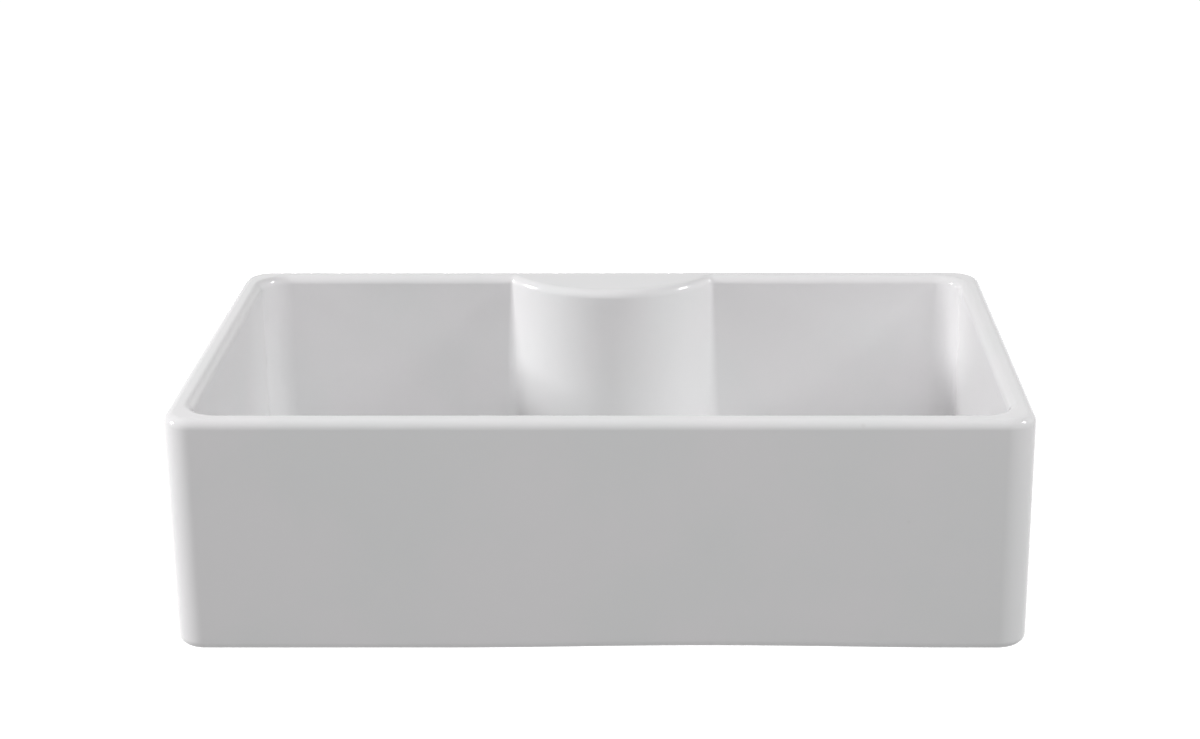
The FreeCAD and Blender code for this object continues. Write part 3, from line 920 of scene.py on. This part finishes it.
def floor_material(look):
    """A pale floor, white to the camera and in reflections, that takes the shadow and is clear from below."""
    material, tree, shader, place = new_material("pale_floor", Roughness=0.8, Specular_IOR_Level=0.0)
    drift = effect(
        tree, "tone_drift",
        {
            "Vector": place,
            "Tone": rgba(look.floor),
            "Other tone": rgba(darker(look.floor, 0.985)),
            "Patches per metre": 0.8,
        },
    )
    tree.links.new(drift.outputs["Color"], shader.inputs["Base Color"])
    glow = add_node(
        tree, "ShaderNodeMapRange", {"Value": seen_directly(tree), "To Max": look.floor_glow}
    )
    shader.inputs["Emission Color"].default_value = (1.0, 1.0, 1.0, 1.0)
    tree.links.new(glow.outputs["Result"], shader.inputs["Emission Strength"])
    side = tree.nodes.new("ShaderNodeNewGeometry").outputs["Backfacing"]
    above = add_node(tree, "ShaderNodeMath", {0: 1.0, 1: side}, operation="SUBTRACT")
    tree.links.new(above.outputs[0], shader.inputs["Alpha"])
    return material


def white_surround(look):
    """The world: plain white to the camera and in reflections, soft light everywhere else."""
    world = bpy.data.worlds.new("white_surround")
    bpy.context.scene.world = world
    world.use_nodes = True
    tree = world.node_tree
    strength = add_node(
        tree, "ShaderNodeMapRange", {"Value": seen_directly(tree), "To Min": look.surround, "To Max": 1.0}
    )
    background = tree.nodes["Background"]
    background.inputs["Color"].default_value = (1.0, 1.0, 1.0, 1.0)
    tree.links.new(strength.outputs["Result"], background.inputs["Strength"])


def soft_box(name, energy):
    """A rectangular lamp that faces the sink's middle."""
    place, width, height, mirrored = LAMPS[name]
    start_fresh()
    bpy.ops.object.light_add(type="AREA", location=place)
    lamp = bpy.context.active_object
    lamp.name = name + "_box"
    lamp.data.shape = "RECTANGLE"
    lamp.data.size = width
    lamp.data.size_y = height
    lamp.data.energy = energy
    lamp.visible_glossy = mirrored
    outlook = (cad_low + cad_high) / 2 - Vector(place)
    lamp.rotation_euler = outlook.to_track_quat("-Z", "Y").to_euler()


class SINK_OT_stage(bpy.types.Operator):
    """Lay the pale floor and set the lamps and the camera"""

    bl_idname = "sink.stage"
    bl_label = "Floor, light and camera"

    def execute(self, context):
        look = context.scene.stage_look
        start_fresh()
        floor_level = basin_high.z - look.worktop_height
        bpy.ops.mesh.primitive_plane_add(size=look.floor_size, location=(0.0, 0.0, floor_level))
        floor = named("floor")
        floor.data.materials.append(floor_material(look))
        white_surround(look)
        for name in LAMPS:
            soft_box(name, getattr(look, name))
        bpy.ops.object.camera_add(location=look.camera_place)
        camera = context.active_object
        camera.name = "photo_camera"
        camera.rotation_euler = (math.pi / 2 - look.camera_pitch, 0.0, 0.0)
        camera.data.sensor_width = 36.0
        camera.data.lens = look.lens
        camera.data.shift_x = look.shift
        camera.data.clip_end = 100.0
        context.scene.camera = camera
        context.scene.view_settings.view_transform = "Standard"
        return {"FINISHED"}


class SINK_PT_panel(bpy.types.Panel):
    """The sink's pieces and stage in the 3D view's sidebar"""

    bl_idname = "SINK_PT_panel"
    bl_label = "Apron-front sink"
    bl_space_type = "VIEW_3D"
    bl_region_type = "UI"
    bl_category = "Sink"

    def draw(self, context):
        for step in STEPS:
            self.layout.operator(step.bl_idname)
        for settings in SETTINGS:
            group = getattr(context.scene, settings)
            box = self.layout.box()
            for name in group.bl_rna.properties.keys():
                if name not in ("rna_type", "name"):
                    box.prop(group, name)


STEPS = (SINK_OT_basin, SINK_OT_strainer, SINK_OT_basket, SINK_OT_stopper, SINK_OT_stage)
SETTINGS = {
    "basin_sizes": BasinSizes,
    "glaze_look": GlazeLook,
    "fitting_look": FittingLook,
    "stage_look": StageLook,
}


def register():
    for cls in (*SETTINGS.values(), *STEPS, SINK_PT_panel):
        bpy.utils.register_class(cls)
    for name, cls in SETTINGS.items():
        setattr(bpy.types.Scene, name, bpy.props.PointerProperty(type=cls))


def unregister():
    for name in SETTINGS:
        delattr(bpy.types.Scene, name)
    for cls in reversed((*SETTINGS.values(), *STEPS, SINK_PT_panel)):
        bpy.utils.unregister_class(cls)


def main():
    register()
    bpy.ops.sink.basin()
    bpy.ops.sink.strainer()
    bpy.ops.sink.basket()
    bpy.ops.sink.stopper()
    bpy.ops.sink.stage()
    leave_edit_mode()


if __name__ == "__main__":
    main()
